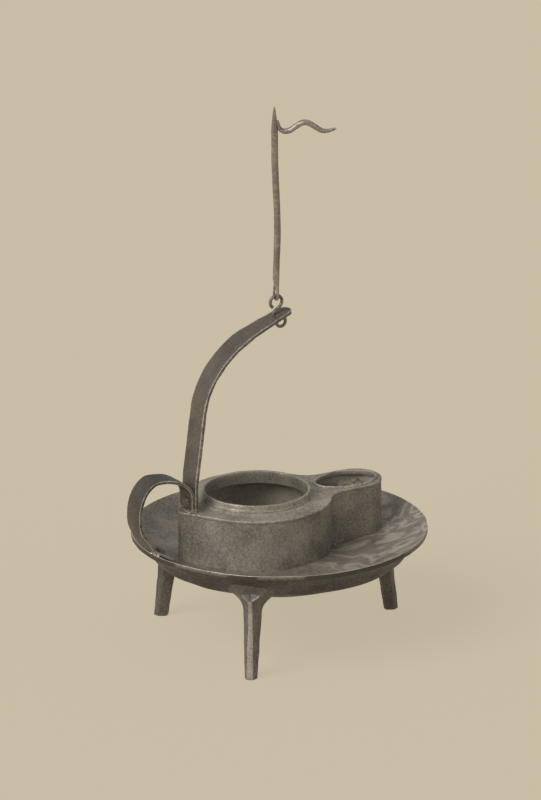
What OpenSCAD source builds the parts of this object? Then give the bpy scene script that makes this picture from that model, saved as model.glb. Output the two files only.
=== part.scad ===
// Betty lamp: a pear-shaped oil font in a drip tray on a three-legged stand, with a strap handle,
// an arm bent over the font, and a loose link that carries a hanger with a spike and a hook.
// The lamp's long axis is X, with the spout towards +X. It stands on the plane Z = 0.

/* [Font] */
// Radius of the round body of the font
font_r = 34.2; // [30:0.2:40]
// Distance from the filler's centre back to the pointed rear
font_rear = 40.1; // [38:0.1:48]
// Radius of the rounded point at the rear
nose_r = 4.5; // [3:0.1:8]
// Distance from the filler's centre to the end of the spout
spout_len = 63.4; // [58:0.2:75]
// Width of the spout
spout_w = 24; // [21:0.2:30]
// Radius of the hollow between body and spout
waist_r = 13.7; // [8:0.1:20]
// Height of the font from the tray's floor to the edge of the deck
font_h = 24.2; // [20:0.2:35]
// Thickness of the wall's sheet
wall_t = 1.4; // [0.8:0.1:2]
// Thickness of the floor plate
floor_t = 1.2; // [0.8:0.1:2]
// Thickness of the deck plate
deck_t = 1.4; // [0.8:0.1:2]
// How far the deck rises to the filler
dome_h = 1; // [0.2:0.1:4]
// Width of the rising ring of the deck
dome_w = 3; // [2:0.1:6]

/* [Filler] */
// Inner radius of the filling collar
collar_r = 23.5; // [18:0.1:25]
// Wall of the collar
collar_t = 1.3; // [0.8:0.1:2]
// Height of the collar above the deck around it
collar_up = 3; // [1.5:0.1:6]
// Depth of the collar below the deck around it
collar_down = 2.8; // [2:0.1:6]
// Width of the bead that rests on the deck
bead_w = 0.8; // [0.6:0.1:2]
// Height of that bead
bead_h = 0.6; // [0.4:0.1:1.4]

/* [Spout and wick] */
// Half length of the oval mouth in the deck
mouth_a = 14.6; // [10:0.1:16]
// Half width of the oval mouth
mouth_b = 9.9; // [7:0.1:10.4]
// Radius of the ends of the oval
mouth_end_r = 6.6; // [4:0.1:7]
// Metal left between the mouth and the end of the spout
mouth_margin = 2.4; // [2:0.1:6]
// Width of the raised lip round the mouth
lip_w = 1.2; // [0.6:0.1:2]
// Height of that lip
lip_h = 0.6; // [0.2:0.1:1.5]
// Radius of the wick
wick_r = 5.5; // [3:0.1:6]
// Slope of the wick and its trough
wick_slope = 28; // [20:1:32]
// How far the rounded tip of the wick stands above the deck
wick_up = 0.5; // [0:0.1:2]
// Distance from the tip's centre back from the front end of the mouth
wick_back = 10.5; // [9:0.1:14]
// Thickness of the trough
trough_t = 1; // [0.6:0.1:1.5]
// Distance from the tip's centre forward to the end of the trough
trough_over = 2; // [0:0.1:3]
// Length of the tab that holds the trough to the floor
tab_len = 14; // [10:0.5:20]
// Width of the tab
tab_w = 10; // [7:0.5:13]

/* [Tray] */
// Room between the font's ends and the sloping side of the tray
tray_room = 1.8; // [0.5:0.1:10]
// Width of the sloping side
flare_w = 14.1; // [10:0.1:20]
// Depth of the tray inside
tray_depth = 7.6; // [5:0.1:10]
// Thickness of the tray's sheet
tray_t = 1; // [0.6:0.1:1.4]
// Depth of the edge that is turned down over the bowl
hem_h = 2.6; // [2.2:0.1:5]
// Radius between the tray's floor and side
tray_fillet = 5; // [2:0.5:8]

/* [Bowl] */
// Height of the bowl's bottom above the table
bowl_clear = 32.4; // [26:0.2:50]
// Depth of the bowl from the tray's rim to the bottom
bowl_depth = 19.6; // [18:0.2:28]
// Thickness of the bowl
bowl_t = 1.8; // [1.2:0.1:2.4]
// Distance from the rim in to the bend of the side
bend_in = 7.1; // [5:0.1:8.5]
// Depth of that bend below the rim
bend_drop = 7.4; // [6.8:0.1:9]
// Distance from the rim in to the corner of side and bottom
corner_in = 10.8; // [9.5:0.1:14]
// Depth of that corner below the rim
corner_drop = 13.2; // [12:0.1:15]
// Radius of the flat bottom
bottom_r = 41; // [30:0.5:44]
// Radius of the rounded corner
corner_r = 4; // [2:0.5:6]

/* [Legs] */
// Distance of the feet in from the rim
foot_in = 7; // [4:0.2:10]
// Outward lean of the legs
leg_lean = 8; // [4:0.5:11]
// Place of the leg under the spout, round the stand
front_angle = 4; // [-15:1:15]
// Place of the left rear leg
left_angle = 124.5; // [110:0.5:135]
// Place of the right rear leg
right_angle = -131.7; // [-140:0.1:-110]
// Half diagonal of the leg at the foot
foot_half = 3; // [2.4:0.1:4]
// Half diagonal of the leg below the root
shank_half = 4.3; // [3.5:0.1:5.5]
// Half width of the flat along the leg's ridges
ridge_half = 1.1; // [0.4:0.1:1.6]
// Half width of that flat at the foot, where it is widest
foot_ridge = 1.7; // [0.6:0.1:2]
// How far the middle of that flat is crowned
ridge_crown = 0.2; // [0.1:0.05:0.4]
// Height of the spreading root
root_h = 11.5; // [8:0.5:14]
// How far the root spreads to each side
root_side = 8; // [5:0.5:10]
// How far the root spreads under the bowl
root_in = 10; // [8:0.5:12]
// How far the knee stands out
knee_out = 2.4; // [1:0.1:4]
// Half width of the palm above the knee, at its top
palm_half = 9.5; // [6:0.5:11]
// Depth of the hollow between the palm's two ridges
palm_hollow = 1.6; // [0.5:0.1:3]
// Radius of the tenon through the bowl
tenon_r = 2; // [1.5:0.1:2.5]
// Distance of the tenon in from the bowl's corner
tenon_in = 5.8; // [5.6:0.1:8]
// Radius of the washers
washer_r = 3.8; // [3.2:0.1:4]
// Thickness of the washers
washer_t = 0.8; // [0.5:0.1:1.2]
// Radius of the peened ends
peen_r = 3; // [2.5:0.1:3.2]
// Height of the peened ends
peen_h = 1; // [0.6:0.1:1.4]

/* [Arm] */
// Width of the arm
arm_w = 12.7; // [10:0.1:16]
// Thickness of the arm
arm_t = 1.7; // [1.2:0.1:2.4]
// Distance of the arm's back in from the rear point of the font
arm_in = 4.9; // [4.5:0.1:5.4]
// Upright length at the foot
arm_foot = 9; // [8:0.5:14]
// Straight length above the foot
arm_rise = 28.9; // [15:0.1:40]
// Forward lean of that length
arm_lean = 8; // [3:0.5:12]
// Radius of the bend above the foot
arm_foot_r = 59; // [30:1:80]
// Radius of the tighter bend
arm_bend_r = 39.4; // [30:0.2:60]
// Angle of the tighter bend
arm_bend = 31.5; // [20:0.5:45]
// Radius of the wider bend
arm_reach_r = 50.4; // [40:0.2:80]
// Angle of the wider bend
arm_reach = 29.3; // [15:0.1:40]
// Straight length from the last bend to the hole
arm_to_hole = 11.3; // [8:0.1:16]
// Distance from the hole to the rounded end
arm_end = 8.6; // [7:0.1:12]
// Radius of the hole for the link
hole_r = 1.5; // [1.1:0.05:2]
// Half width of the arm at its rounded end
arm_tip_r = 4.6; // [4:0.1:6]
// Length before the hole over which the arm narrows
arm_taper = 20; // [8:1:22]
// Length beyond the hole that stays straight
tip_flat = 2.6; // [2:0.1:4]
// Angle by which the end droops
tip_droop = 18; // [0:1:30]
// Width of the tenon through the deck
arm_tenon_w = 7; // [5:0.1:8]
// Length of the tenon's end clenched under the deck
clench = 5; // [3:0.1:7]

/* [Handle] */
// Width of the strap
strap_w = 12; // [9:0.1:14]
// Thickness of the strap
strap_t = 1.5; // [1:0.1:2]
// How far the loop stands out behind the rim
handle_out = 8.2; // [4:0.1:16]
// Height of the loop's top above the deck
handle_rise = 18.2; // [13:0.1:26]
// Length of the upper end on the arm
lap_h = 7; // [6:0.1:7.5]
// Length of the lower end on the tray
foot_len = 9; // [7:0.1:11]
// Slope at which the strap comes down to the rim
handle_slope = 62; // [50:1:75]
// Radius of the bend on the rim
handle_bend_r = 4; // [3:0.1:6]
// Radius of the rivets' shanks
rivet_r = 1.5; // [1:0.1:2]
// Radius of the rivets' heads
head_r = 2.9; // [2.4:0.1:3.4]
// Height of the rivets' heads
head_h = 1.2; // [0.8:0.1:1.6]

/* [Link and hanger] */
// Radius of the link's wire
wire_r = 0.75; // [0.5:0.05:0.9]
// Radius of the bend above the hole, along the wire's middle
link_bend_r = 1.6; // [1.2:0.1:2.2]
// Angle of that bend
link_bend = 75; // [60:1:85]
// Straight length between that bend and the eye
link_run = 3.3; // [2:0.1:4]
// Radius of the link's eye, along the wire's middle
link_eye_r = 3; // [2.8:0.1:4]
// Angle that the eye goes round
link_eye = 287; // [260:1:295]
// Straight length below the hole
link_drop = 3.6; // [3:0.1:6]
// Radius of the lower bend
link_hook_r = 2.3; // [1.8:0.1:3]
// Radius of the rod
rod_r = 1.55; // [1.2:0.05:2]
// Length of the hanger from the link to the point
hanger_len = 90.6; // [70:0.1:140]
// Length of the point
spike_len = 14; // [8:0.5:16]
// Sideways bow of the rod
rod_bow = 1.1; // [0:0.1:2]
// Radius of the drawn-down end that forms the eye
strand_r = 0.65; // [0.5:0.05:0.8]
// Radius of the rod's eye, along the strand's middle
rod_eye_r = 1.75; // [1.7:0.05:2.4]
// Length of the tail beside the eye
tail_len = 9; // [7:0.1:12]
// Direction of the hook, turned from the lamp's long axis
hook_turn = -29; // [-90:1:90]
// Reach of the hook from the rod's middle
hook_reach = 28; // [22:0.1:36]
// Height of the hook's wave, half from dip to crest
hook_amp = 2.1; // [1:0.1:3]
// Length of one wave
hook_wave = 18; // [14:0.1:24]
// Depth of the hook's first dip below the point
hook_down = 11.9; // [10:0.1:20]
// Radius of the hook at its root
hook_r = 1.35; // [1:0.05:1.6]
// Radius of the hook at its tip
hook_tip_r = 0.4; // [0.3:0.05:0.8]
// Length of the root that is welded along the rod
scarf_len = 3; // [2:0.1:6]
// Radius of the bend from the root to the hook
scarf_bend_r = 3; // [2:0.1:4]

/* [Hidden] */
$fn = 96;
// Gap left in soldered and seated joints
seam = 0.1;
// Gap between the wick and its trough
wick_gap = 0.35;
// Gap between the link's wire end and the arm
tuck_gap = 0.6;
// Overlap of cutting shapes
cut = 1;

// Stand: the tray is as large as the font needs, and the bowl's sizes go by the tray's rim
font_x = (font_rear - spout_len) / 2;
floor_r = (font_rear + spout_len) / 2 + tray_room;
rim_r = floor_r + flare_w;
rim_z = bowl_clear + bowl_depth;
floor_z = rim_z - tray_depth;
flare = atan2(tray_depth, flare_w);
under = tray_t / cos(flare);
deck_z = floor_z + font_h;
// The overall box is centred over the origin, so the stand's middle lies in front of it
stand_x = handle_out / 2;

// Moves children from the filler's frame or the stand's frame to the lamp's frame
module on_stand() translate([stand_x, 0, 0]) children();
module on_font() translate([stand_x + font_x, 0, 0]) children();

// Points of a corner p1 between p0 and p2 rounded with radius r
function unit(v) = v / norm(v);
function turn_angle(u, v) = acos(max(-1, min(1, u * v)));
function rounded(p0, p1, p2, r, n = 5) =
    let (u = unit(p0 - p1), v = unit(p2 - p1))
    let (half = turn_angle(u, v) / 2)
    let (c = p1 + unit(u + v) * r / sin(half))
    let (a = p1 + u * r / tan(half) - c, b = p1 + v * r / tan(half) - c)
    let (sweep = turn_angle(unit(a), unit(b)))
    [for (i = [0:n]) c + (a * sin(sweep * (1 - i / n)) + b * sin(sweep * i / n)) / sin(sweep)];

// A line of points moved sideways by d, to the left of its direction
function left_of(v) = [-v.y, v.x];
function beside(p, d) = [
    for (i = [0:len(p) - 1])
        let (u = unit(p[max(1, i)] - p[max(1, i) - 1]))
        let (v = unit(p[min(len(p) - 2, i) + 1] - p[min(len(p) - 2, i)]))
        let (m = unit(left_of(u) + left_of(v)))
        p[i] + m * d / (m * left_of(u))
];

// A path of straight runs [length, 0, 0] and bends [0, radius, angle], as stations [x, z, heading]
bend_step = 6;
function along(s, seg, f) =
    seg[1] == 0
    ? [s[0] + f * seg[0] * cos(s[2]), s[1] + f * seg[0] * sin(s[2]), s[2]]
    : let (k = sign(seg[2]) * seg[1], h = s[2] + f * seg[2])
      [s[0] + k * (sin(h) - sin(s[2])), s[1] + k * (cos(s[2]) - cos(h)), h];
function stations(segs, s, i = 0) =
    i == len(segs)
    ? [s]
    : let (n = max(1, ceil(abs(segs[i][2]) / bend_step)))
      concat([for (k = [0:n - 1]) along(s, segs[i], k / n)], stations(segs, along(s, segs[i], 1), i + 1));
function last(list) = list[len(list) - 1];

// Stations along a curve from a to d with the handles b and c
function curve(a, b, c, d, n = 12) = [
    for (i = [1:n])
        let (t = i / n, q = 1 - t)
        let (p = a * q * q * q + b * 3 * q * q * t + c * 3 * q * t * t + d * t * t * t)
        let (v = (b - a) * q * q + (c - b) * 2 * q * t + (d - c) * t * t)
        [p.x, p.y, atan2(v.y, v.x)]
];

// A flat strip that follows stations in the X-Z plane
module strip(path, thick, width) {
    edge = [for (s = path) thick / 2 * [-sin(s[2]), cos(s[2])]];
    n = len(path) - 1;
    rotate([90, 0, 0])
        linear_extrude(width, center = true)
            polygon(concat(
                [for (i = [0:n]) [path[i][0], path[i][1]] + edge[i]],
                [for (i = [n:-1:0]) [path[i][0], path[i][1]] - edge[i]]
            ));
}

// Round wire that follows runs and bends from the origin along +X in the X-Y plane
module wire(segs, r, i = 0) {
    if (i < len(segs)) {
        s = segs[i];
        e = along([0, 0, 0], s, 1);
        if (s[1] == 0)
            rotate([0, 90, 0])
                cylinder(h = s[0], r = r);
        else
            translate([0, sign(s[2]) * s[1], 0])
                rotate([0, 0, s[2] > 0 ? -90 : 90 + s[2]])
                    rotate_extrude(angle = abs(s[2]))
                        translate([s[1], 0])
                            circle(r);
        translate([e[0], e[1], 0])
            rotate([0, 0, e[2]])
                wire(segs, r, i + 1);
    }
}

// A closed skin over rings of points, each ring counter-clockwise seen from the last one
function between(a, b, n) = [
    for (j = [0:n - 1])
        let (k = (j + 1) % n)
        each [[a + j, b + j, b + k], [a + j, b + k, a + k]]
];
module skin(rings) {
    n = len(rings[0]);
    m = len(rings);
    polyhedron(
        points = [for (ring = rings) each ring],
        faces = concat(
            [[for (j = [0:n - 1]) j]],
            [for (i = [1:m - 1]) each between(i * n - n, i * n, n)],
            [[for (j = [n - 1:-1:0]) (m - 1) * n + j]]
        )
    );
}

// A rivet along +Z from z = 0, with a low domed head on top of the given grip
module rivet(grip) {
    cylinder(h = grip, r = rivet_r - seam / 2);
    translate([0, 0, grip])
        rotate_extrude()
            intersection() {
                translate([0, head_h - dome_radius(head_r, head_h)])
                    circle(dome_radius(head_r, head_h));
                square([head_r, head_h]);
            }
}
function dome_radius(r, h) = (r * r + h * h) / (2 * h);

// Font outline, moved in by d: body, rounded rear point, hollow waist and round spout end
arc_step = 5;
function arc(c, r, from, to) =
    let (n = ceil(abs(to - from) / arc_step))
    [for (i = [0:n]) c + r * [cos(from + (to - from) * i / n), sin(from + (to - from) * i / n)]];
waist_x = sqrt(pow(font_r + waist_r, 2) - pow(spout_w / 2 + waist_r, 2));
waist_y = spout_w / 2 + waist_r;
waist_angle = atan2(waist_y, waist_x);
nose_x = nose_r - font_rear;
nose_angle = acos((font_r - nose_r) / -nose_x);
spout_x = spout_len - spout_w / 2;
module outline(d) {
    polygon(concat(
        arc([0, 0], font_r - d, waist_angle, 180 - nose_angle),
        arc([nose_x, 0], nose_r - d, 180 - nose_angle, 180 + nose_angle),
        arc([0, 0], font_r - d, 180 + nose_angle, 360 - waist_angle),
        arc([waist_x, -waist_y], waist_r + d, 180 - waist_angle, 90),
        arc([spout_x, 0], spout_w / 2 - d, -90, 90),
        arc([waist_x, waist_y], waist_r + d, 270, 180 + waist_angle)
    ));
}

// Oval of four arcs, half length a, half width b and end radius r
module oval(a, b, r) {
    k = (pow(a - r, 2) - pow(b - r, 2)) / (2 * (b - r));
    join_x = a - r + r * (a - r) / (b + k - r);
    for (s = [-1, 1])
        translate([s * (a - r), 0])
            circle(r);
    intersection() {
        translate([0, -k])
            circle(b + k);
        translate([0, k])
            circle(b + k);
        square([2 * join_x, 2 * b], center = true);
    }
}

// Tray: the top surface from the floor up the side, with a turned-down edge
module drip_tray() {
    lip = tray_t / 2;
    top = concat(
        rounded([0, floor_z], [floor_r, floor_z], [rim_r, rim_z], tray_fillet),
        rounded([floor_r, floor_z], [rim_r, rim_z], [rim_r, rim_z - hem_h], lip)
    );
    low = concat(
        [[0, floor_z - tray_t]],
        rounded([0, floor_z - tray_t], [floor_r, floor_z - under], [rim_r, rim_z - under], tray_fillet),
        [[rim_r - tray_t, rim_z - under - tray_t * tan(flare)]],
        [[rim_r - tray_t, rim_z - hem_h]]
    );
    color("#7d7468")
        on_stand()
            difference() {
                rotate_extrude()
                    polygon(concat(
                        [[0, floor_z]], top, [[rim_r, rim_z - hem_h]],
                        [for (i = [len(low) - 1:-1:0]) low[i]]
                    ));
                at_handle_rivet()
                    translate([0, 0, -tray_t - cut])
                        cylinder(h = tray_t + 2 * cut, r = rivet_r);
            }
}

// Bowl: the outer line from the rim to the middle of the bottom
bowl_z = bowl_clear;
edge_r = rim_r - tray_t - seam;
edge_z = rim_z - under - seam - (rim_r - edge_r) * tan(flare);
bowl_corners = [
    [edge_r, edge_z],
    [rim_r - bend_in, rim_z - bend_drop],
    [rim_r - corner_in, rim_z - corner_drop],
    [bottom_r, bowl_z],
    [0, bowl_z]
];
function bowl_line(d) =
    let (p = beside(bowl_corners, -d))
    concat(
        [p[0]],
        rounded(p[0], p[1], p[2], corner_r),
        rounded(p[1], p[2], p[3], corner_r - d),
        [p[3], p[4]]
    );
module bowl_body(d) {
    rotate_extrude()
        polygon(concat(bowl_line(d), [[0, rim_z], [bowl_line(d)[0].x, rim_z]]));
}
module under_tray() {
    rotate_extrude()
        polygon([
            [0, floor_z - tray_t - seam],
            [floor_r, floor_z - under - seam],
            [rim_r + cut, rim_z - under - seam + cut * tan(flare)],
            [rim_r + cut, rim_z + cut],
            [0, rim_z + cut]
        ]);
}
module at_leg(angle) rotate([0, 0, angle]) children();
leg_angles = [front_angle, left_angle, right_angle];
corner_radius = rim_r - corner_in;
tenon_x = corner_radius - tenon_in;
bottom_slope = (rim_z - corner_drop - bowl_z) / (corner_radius - bottom_r);
pad_z = bowl_z + (tenon_x + washer_r - bottom_r) * bottom_slope + bowl_t * sqrt(1 + pow(bottom_slope, 2));
module base_bowl() {
    color("#55493f")
        on_stand()
            difference() {
                union() {
                    difference() {
                        bowl_body(0);
                        bowl_body(bowl_t);
                    }
                    intersection() {
                        bowl_body(0);
                        for (a = leg_angles)
                            at_leg(a)
                                translate([tenon_x, 0, bowl_z])
                                    cylinder(h = pad_z - bowl_z, r = washer_r + seam);
                    }
                }
                under_tray();
                for (a = leg_angles)
                    at_leg(a)
                        translate([tenon_x, 0, bowl_z - cut])
                            cylinder(h = pad_z - bowl_z + 2 * cut, r = tenon_r + seam / 2);
            }
}

// Legs: diamond sections from the foot up to a root that spreads under the bowl and over its corner
foot_r = rim_r - foot_in;
root_rise = 1;
root_top = rim_z - corner_drop + root_rise;
root_low = root_top - root_h;
palm_top = rim_z - bend_drop;
root_steps = 8;
// Place of the knee in the root's height, and share of the palm's width that is reached at the root's top
knee_at = 0.75;
fork_at = 0.55;
tenon_root = 4;
function leg_x(z) = foot_r - z * tan(leg_lean);
function leg_ring(z, out, half, hollow, side, in) = [
    [leg_x(z) + out, -half, z],
    [leg_x(z) + out - hollow, 0, z],
    [leg_x(z) + out, half, z],
    [leg_x(z), side, z],
    [leg_x(z) - in, ridge_half, z],
    [leg_x(z) - in, -ridge_half, z],
    [leg_x(z), -side, z]
];
palm_r = rim_r - bend_in;
palm_out = sqrt(palm_r * palm_r - palm_half * palm_half) - leg_x(palm_top);
function root_ring(s) =
    let (z = root_low + root_h * s, spread = pow(s, 3), fork = max(0, s - knee_at) / (1 - knee_at))
    let (knee = shank_half + knee_out * pow(min(1, s / knee_at), 2))
    leg_ring(
        z,
        knee + (palm_out - knee) * fork,
        ridge_half + (palm_half * fork_at - ridge_half) * fork,
        palm_hollow * fork - ridge_crown * (1 - fork),
        shank_half + root_side * spread,
        shank_half + root_in * spread
    );
module leg(angle) {
    on_stand()
        at_leg(angle) {
            difference() {
                skin(concat(
                    [leg_ring(0, foot_half, foot_ridge, -ridge_crown, foot_half, foot_half)],
                    [for (i = [0:root_steps]) root_ring(i / root_steps)],
                    [leg_ring(
                        palm_top, palm_out, palm_half, palm_out + leg_x(palm_top) - palm_r,
                        shank_half + root_side, shank_half
                    )]
                ));
                bowl_body(-seam / 2);
            }
            translate([tenon_x, 0, root_top - tenon_root])
                cylinder(h = pad_z + washer_t - root_top + tenon_root, r = tenon_r);
            translate([tenon_x, 0, pad_z + washer_t])
                cylinder(h = peen_h, r = peen_r);
        }
}
module leg_front() color("#5d5146") leg(front_angle);
module leg_left() color("#5d5146") leg(left_angle);
module leg_right() color("#5d5146") leg(right_angle);
module leg_washers() {
    color("#7a7067")
        on_stand()
            for (a = leg_angles)
                at_leg(a)
                    translate([tenon_x, 0, pad_z])
                        difference() {
                            cylinder(h = washer_t, r = washer_r);
                            translate([0, 0, -cut])
                                cylinder(h = washer_t + 2 * cut, r = tenon_r + seam / 2);
                        }
}

// Font
module font_wall() {
    color("#685c50")
        on_font()
            translate([0, 0, floor_z])
                linear_extrude(font_h - deck_t)
                    difference() {
                        outline(0);
                        outline(wall_t);
                    }
}
module font_floor() {
    color("#4c433b")
        on_font()
            translate([0, 0, floor_z])
                difference() {
                    linear_extrude(floor_t)
                        outline(wall_t + seam);
                    translate([rivet_x, 0, -cut])
                        cylinder(h = floor_t + 2 * cut, r = rivet_r);
                }
}
collar_out = collar_r + collar_t;
dome_r = collar_out + bead_w + seam;
dome_z = deck_z + dome_h;
mouth_x = spout_len - mouth_margin - mouth_a;
arm_back = arm_in - font_rear;
module font_deck() {
    color("#8a7d6d")
        on_font()
            difference() {
                union() {
                    translate([0, 0, deck_z - deck_t])
                        linear_extrude(deck_t)
                            outline(0);
                    translate([0, 0, deck_z])
                        cylinder(h = dome_h, r1 = dome_r + dome_w, r2 = dome_r);
                    translate([mouth_x, 0, deck_z])
                        linear_extrude(lip_h)
                            oval(mouth_a + lip_w, mouth_b + lip_w, mouth_end_r + lip_w);
                }
                translate([0, 0, deck_z - deck_t - cut])
                    cylinder(h = cut, r = dome_r + dome_w - deck_t);
                translate([0, 0, deck_z - deck_t])
                    cylinder(h = dome_h, r1 = dome_r + dome_w - deck_t, r2 = dome_r - deck_t);
                translate([0, 0, deck_z - deck_t])
                    cylinder(h = deck_t + dome_h + cut, r = collar_out + seam);
                translate([mouth_x, 0, deck_z - deck_t - cut])
                    linear_extrude(deck_t + lip_h + 2 * cut)
                        oval(mouth_a, mouth_b, mouth_end_r);
                translate([arm_back - seam, -arm_tenon_w / 2 - seam, deck_z - deck_t - cut])
                    cube([arm_t + 2 * seam, arm_tenon_w + 2 * seam, deck_t + 2 * cut]);
            }
}
module filler_collar() {
    round_r = collar_t / 3;
    low_z = dome_z - collar_down;
    top_z = dome_z + collar_up;
    color("#9a8c7a")
        on_font()
            rotate_extrude()
                polygon(concat(
                    [[collar_r, low_z], [collar_out, low_z], [collar_out, dome_z]],
                    [[collar_out + bead_w, dome_z], [collar_out + bead_w, dome_z + bead_h / 2]],
                    [[collar_out, dome_z + bead_h]],
                    rounded([collar_out, dome_z], [collar_out, top_z], [collar_r, top_z], round_r),
                    rounded([collar_out, top_z], [collar_r, top_z], [collar_r, low_z], round_r)
                ));
}

// Wick and trough, along a slope that ends in the mouth
trough_in = wick_r + wick_gap;
trough_out = trough_in + trough_t;
tip_x = mouth_x + mouth_a - wick_back;
tip_z = deck_z + wick_up - wick_r;
plate_z = floor_z + floor_t;
wick_len = (tip_z - plate_z - trough_out * cos(wick_slope)) / sin(wick_slope);
trough_len = wick_len + trough_over;
tab_x = tip_x - wick_len * cos(wick_slope);
rivet_x = tab_x - tab_len / 2;
// The tab reaches under the trough until its top meets the trough's underside
tab_lap = trough_out * sin(wick_slope) + trough_t / tan(wick_slope);
module on_slope() {
    on_font()
        translate([tip_x, 0, tip_z])
            rotate([0, 90 - wick_slope, 0])
                children();
}
module wick_trough() {
    color("#4f463e") {
        difference() {
            on_slope()
                translate([0, 0, -wick_len])
                    difference() {
                        cylinder(h = trough_len, r = trough_out);
                        translate([0, 0, -cut])
                            cylinder(h = trough_len + 2 * cut, r = trough_in);
                        translate([-trough_out - cut, -trough_out - cut, -cut])
                            cube([trough_out + cut, 2 * (trough_out + cut), trough_len + 2 * cut]);
                    }
            on_font()
                translate([tab_x - 2 * trough_out, -trough_out - cut, floor_z])
                    cube([4 * trough_out, 2 * (trough_out + cut), floor_t]);
        }
        difference() {
            on_font()
                difference() {
                    translate([tab_x - tab_len, -tab_w / 2, plate_z])
                        cube([tab_len + tab_lap, tab_w, trough_t]);
                    translate([rivet_x, 0, plate_z - cut])
                        cylinder(h = trough_t + 2 * cut, r = rivet_r);
                }
            on_slope()
                translate([0, 0, -wick_len])
                    cylinder(h = wick_len, r = trough_in);
        }
    }
}
module trough_rivet() {
    color("#837970")
        on_font()
            translate([rivet_x, 0, floor_z])
                rivet(floor_t + trough_t);
}
module wick() {
    color("#b9a888")
        on_slope()
            rotate_extrude()
                union() {
                    translate([0, seam - wick_len])
                        square([wick_r, wick_len - seam]);
                    intersection() {
                        circle(wick_r);
                        square(wick_r);
                    }
                }
}

// Arm
arm_x = arm_back + arm_t / 2;
arm_path = stations(
    [
        [arm_foot, 0, 0],
        [0, arm_foot_r, -arm_lean],
        [arm_rise, 0, 0],
        [0, arm_bend_r, -arm_bend],
        [0, arm_reach_r, -arm_reach],
        [arm_to_hole, 0, 0]
    ],
    [arm_x, deck_z, 90]
);
hole_at = last(arm_path);
arm_tilt = hole_at[2];
tip_r = (arm_end - tip_flat) * 180 / (PI * tip_droop);
tip_path = stations([[tip_flat, 0, 0], [0, tip_r, -tip_droop]], hole_at);
// Outline of the narrowed end round the hole, a hair wider than the arm where it begins
tip_middle = tip_flat + tip_r * sin(tip_droop) - arm_tip_r;
tip_angle = 90 - atan2(arm_w / 2 - arm_tip_r, arm_taper + tip_middle);
tip_outline = concat(
    [[-arm_taper, -arm_w / 2 - seam / 2]],
    arc([tip_middle, 0], arm_tip_r, -tip_angle, tip_angle),
    [[-arm_taper, arm_w / 2 + seam / 2]]
);
module at_hole() {
    on_font()
        translate([hole_at[0], 0, hole_at[1]])
            rotate([0, -arm_tilt, 0])
                children();
}
module at_arm_rivet() {
    on_font()
        translate([arm_back + arm_t, 0, deck_z + lap_h / 2])
            rotate([0, -90, 0])
                children();
}
module arm() {
    color("#74695c")
        difference() {
            on_font() {
                strip(concat(arm_path, [for (i = [1:len(tip_path) - 1]) tip_path[i]]), arm_t, arm_w);
                translate([arm_back, -arm_tenon_w / 2, deck_z - deck_t - seam - arm_t])
                    cube([arm_t, arm_tenon_w, deck_t + seam + arm_t + cut]);
                translate([arm_back, -arm_tenon_w / 2, deck_z - deck_t - seam - arm_t])
                    cube([arm_t + clench, arm_tenon_w, arm_t]);
            }
            at_hole() {
                translate([0, 0, -arm_t / 2 - cut])
                    cylinder(h = arm_t + 2 * cut, r = hole_r);
                difference() {
                    translate([-arm_taper, -arm_w / 2 - cut, -2 * arm_t])
                        cube([arm_taper + arm_end + cut, arm_w + 2 * cut, 4 * arm_t]);
                    translate([0, 0, -2 * arm_t - cut])
                        linear_extrude(4 * arm_t + 2 * cut)
                            polygon(tip_outline);
                }
            }
            at_arm_rivet()
                translate([0, 0, -cut])
                    cylinder(h = arm_t + 2 * cut, r = rivet_r);
        }
}
module arm_rivet() {
    color("#8d8379")
        at_arm_rivet() {
            rivet(arm_t + strap_t + seam);
            translate([0, 0, -head_h / 2])
                cylinder(h = head_h / 2, r = head_r);
        }
}

// Handle, from its foot on the tray's side round the loop to its lap on the arm
strap_gap = pow(strap_w / 2, 2) / (2 * floor_r) * tan(flare) + seam;
slope_in = [cos(flare), -sin(flare)];
slope_up = [sin(flare), cos(flare)];
rim_back = [-rim_r - font_x, rim_z];
foot_start = 1;
foot_end = rim_back + slope_up * (strap_gap + strap_t / 2) + slope_in * (foot_len + foot_start);
foot_path = stations(
    [[foot_len, 0, 0], [0, handle_bend_r, flare - handle_slope]],
    [foot_end.x, foot_end.y, 180 - flare]
);
landing = [last(foot_path)[0], last(foot_path)[1]];
landing_dir = [cos(last(foot_path)[2]), sin(last(foot_path)[2])];
// How far the loop's top lies behind the middle of the loop
top_back = 3;
lap_x = arm_back - seam - strap_t / 2;
lap_top = [lap_x, deck_z + lap_h];
loop_top_z = deck_z + handle_rise - strap_t / 2;
loop_back = [-rim_r - font_x - handle_out + strap_t / 2, (loop_top_z + landing.y) / 2];
loop_top = [(lap_x + loop_back.x) / 2 - top_back, loop_top_z];
bulge = 0.55;
handle_path = concat(
    foot_path,
    curve(
        landing,
        landing + landing_dir * (loop_back.y - landing.y) * bulge,
        loop_back - [0, (loop_back.y - landing.y) * bulge],
        loop_back
    ),
    curve(
        loop_back,
        loop_back + [0, (loop_top.y - loop_back.y) * bulge],
        loop_top - [(loop_top.x - loop_back.x) * bulge, 0],
        loop_top
    ),
    curve(
        loop_top,
        loop_top + [(lap_top.x - loop_top.x) * bulge, 0],
        lap_top + [0, (loop_top.y - lap_top.y) * bulge],
        lap_top
    ),
    [[lap_x, deck_z, -90]]
);
module at_handle_rivet() {
    p = [-rim_r, rim_z] + slope_in * (foot_start + foot_len / 2);
    translate([p.x, 0, p.y])
        rotate([0, flare, 0])
            children();
}
module handle() {
    color("#6f6458")
        difference() {
            on_font()
                strip(handle_path, strap_t, strap_w);
            at_arm_rivet()
                cylinder(h = arm_t + strap_t + 2 * cut, r = rivet_r);
            on_stand()
                at_handle_rivet()
                    cylinder(h = strap_gap + strap_t + cut, r = rivet_r);
        }
}
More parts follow.
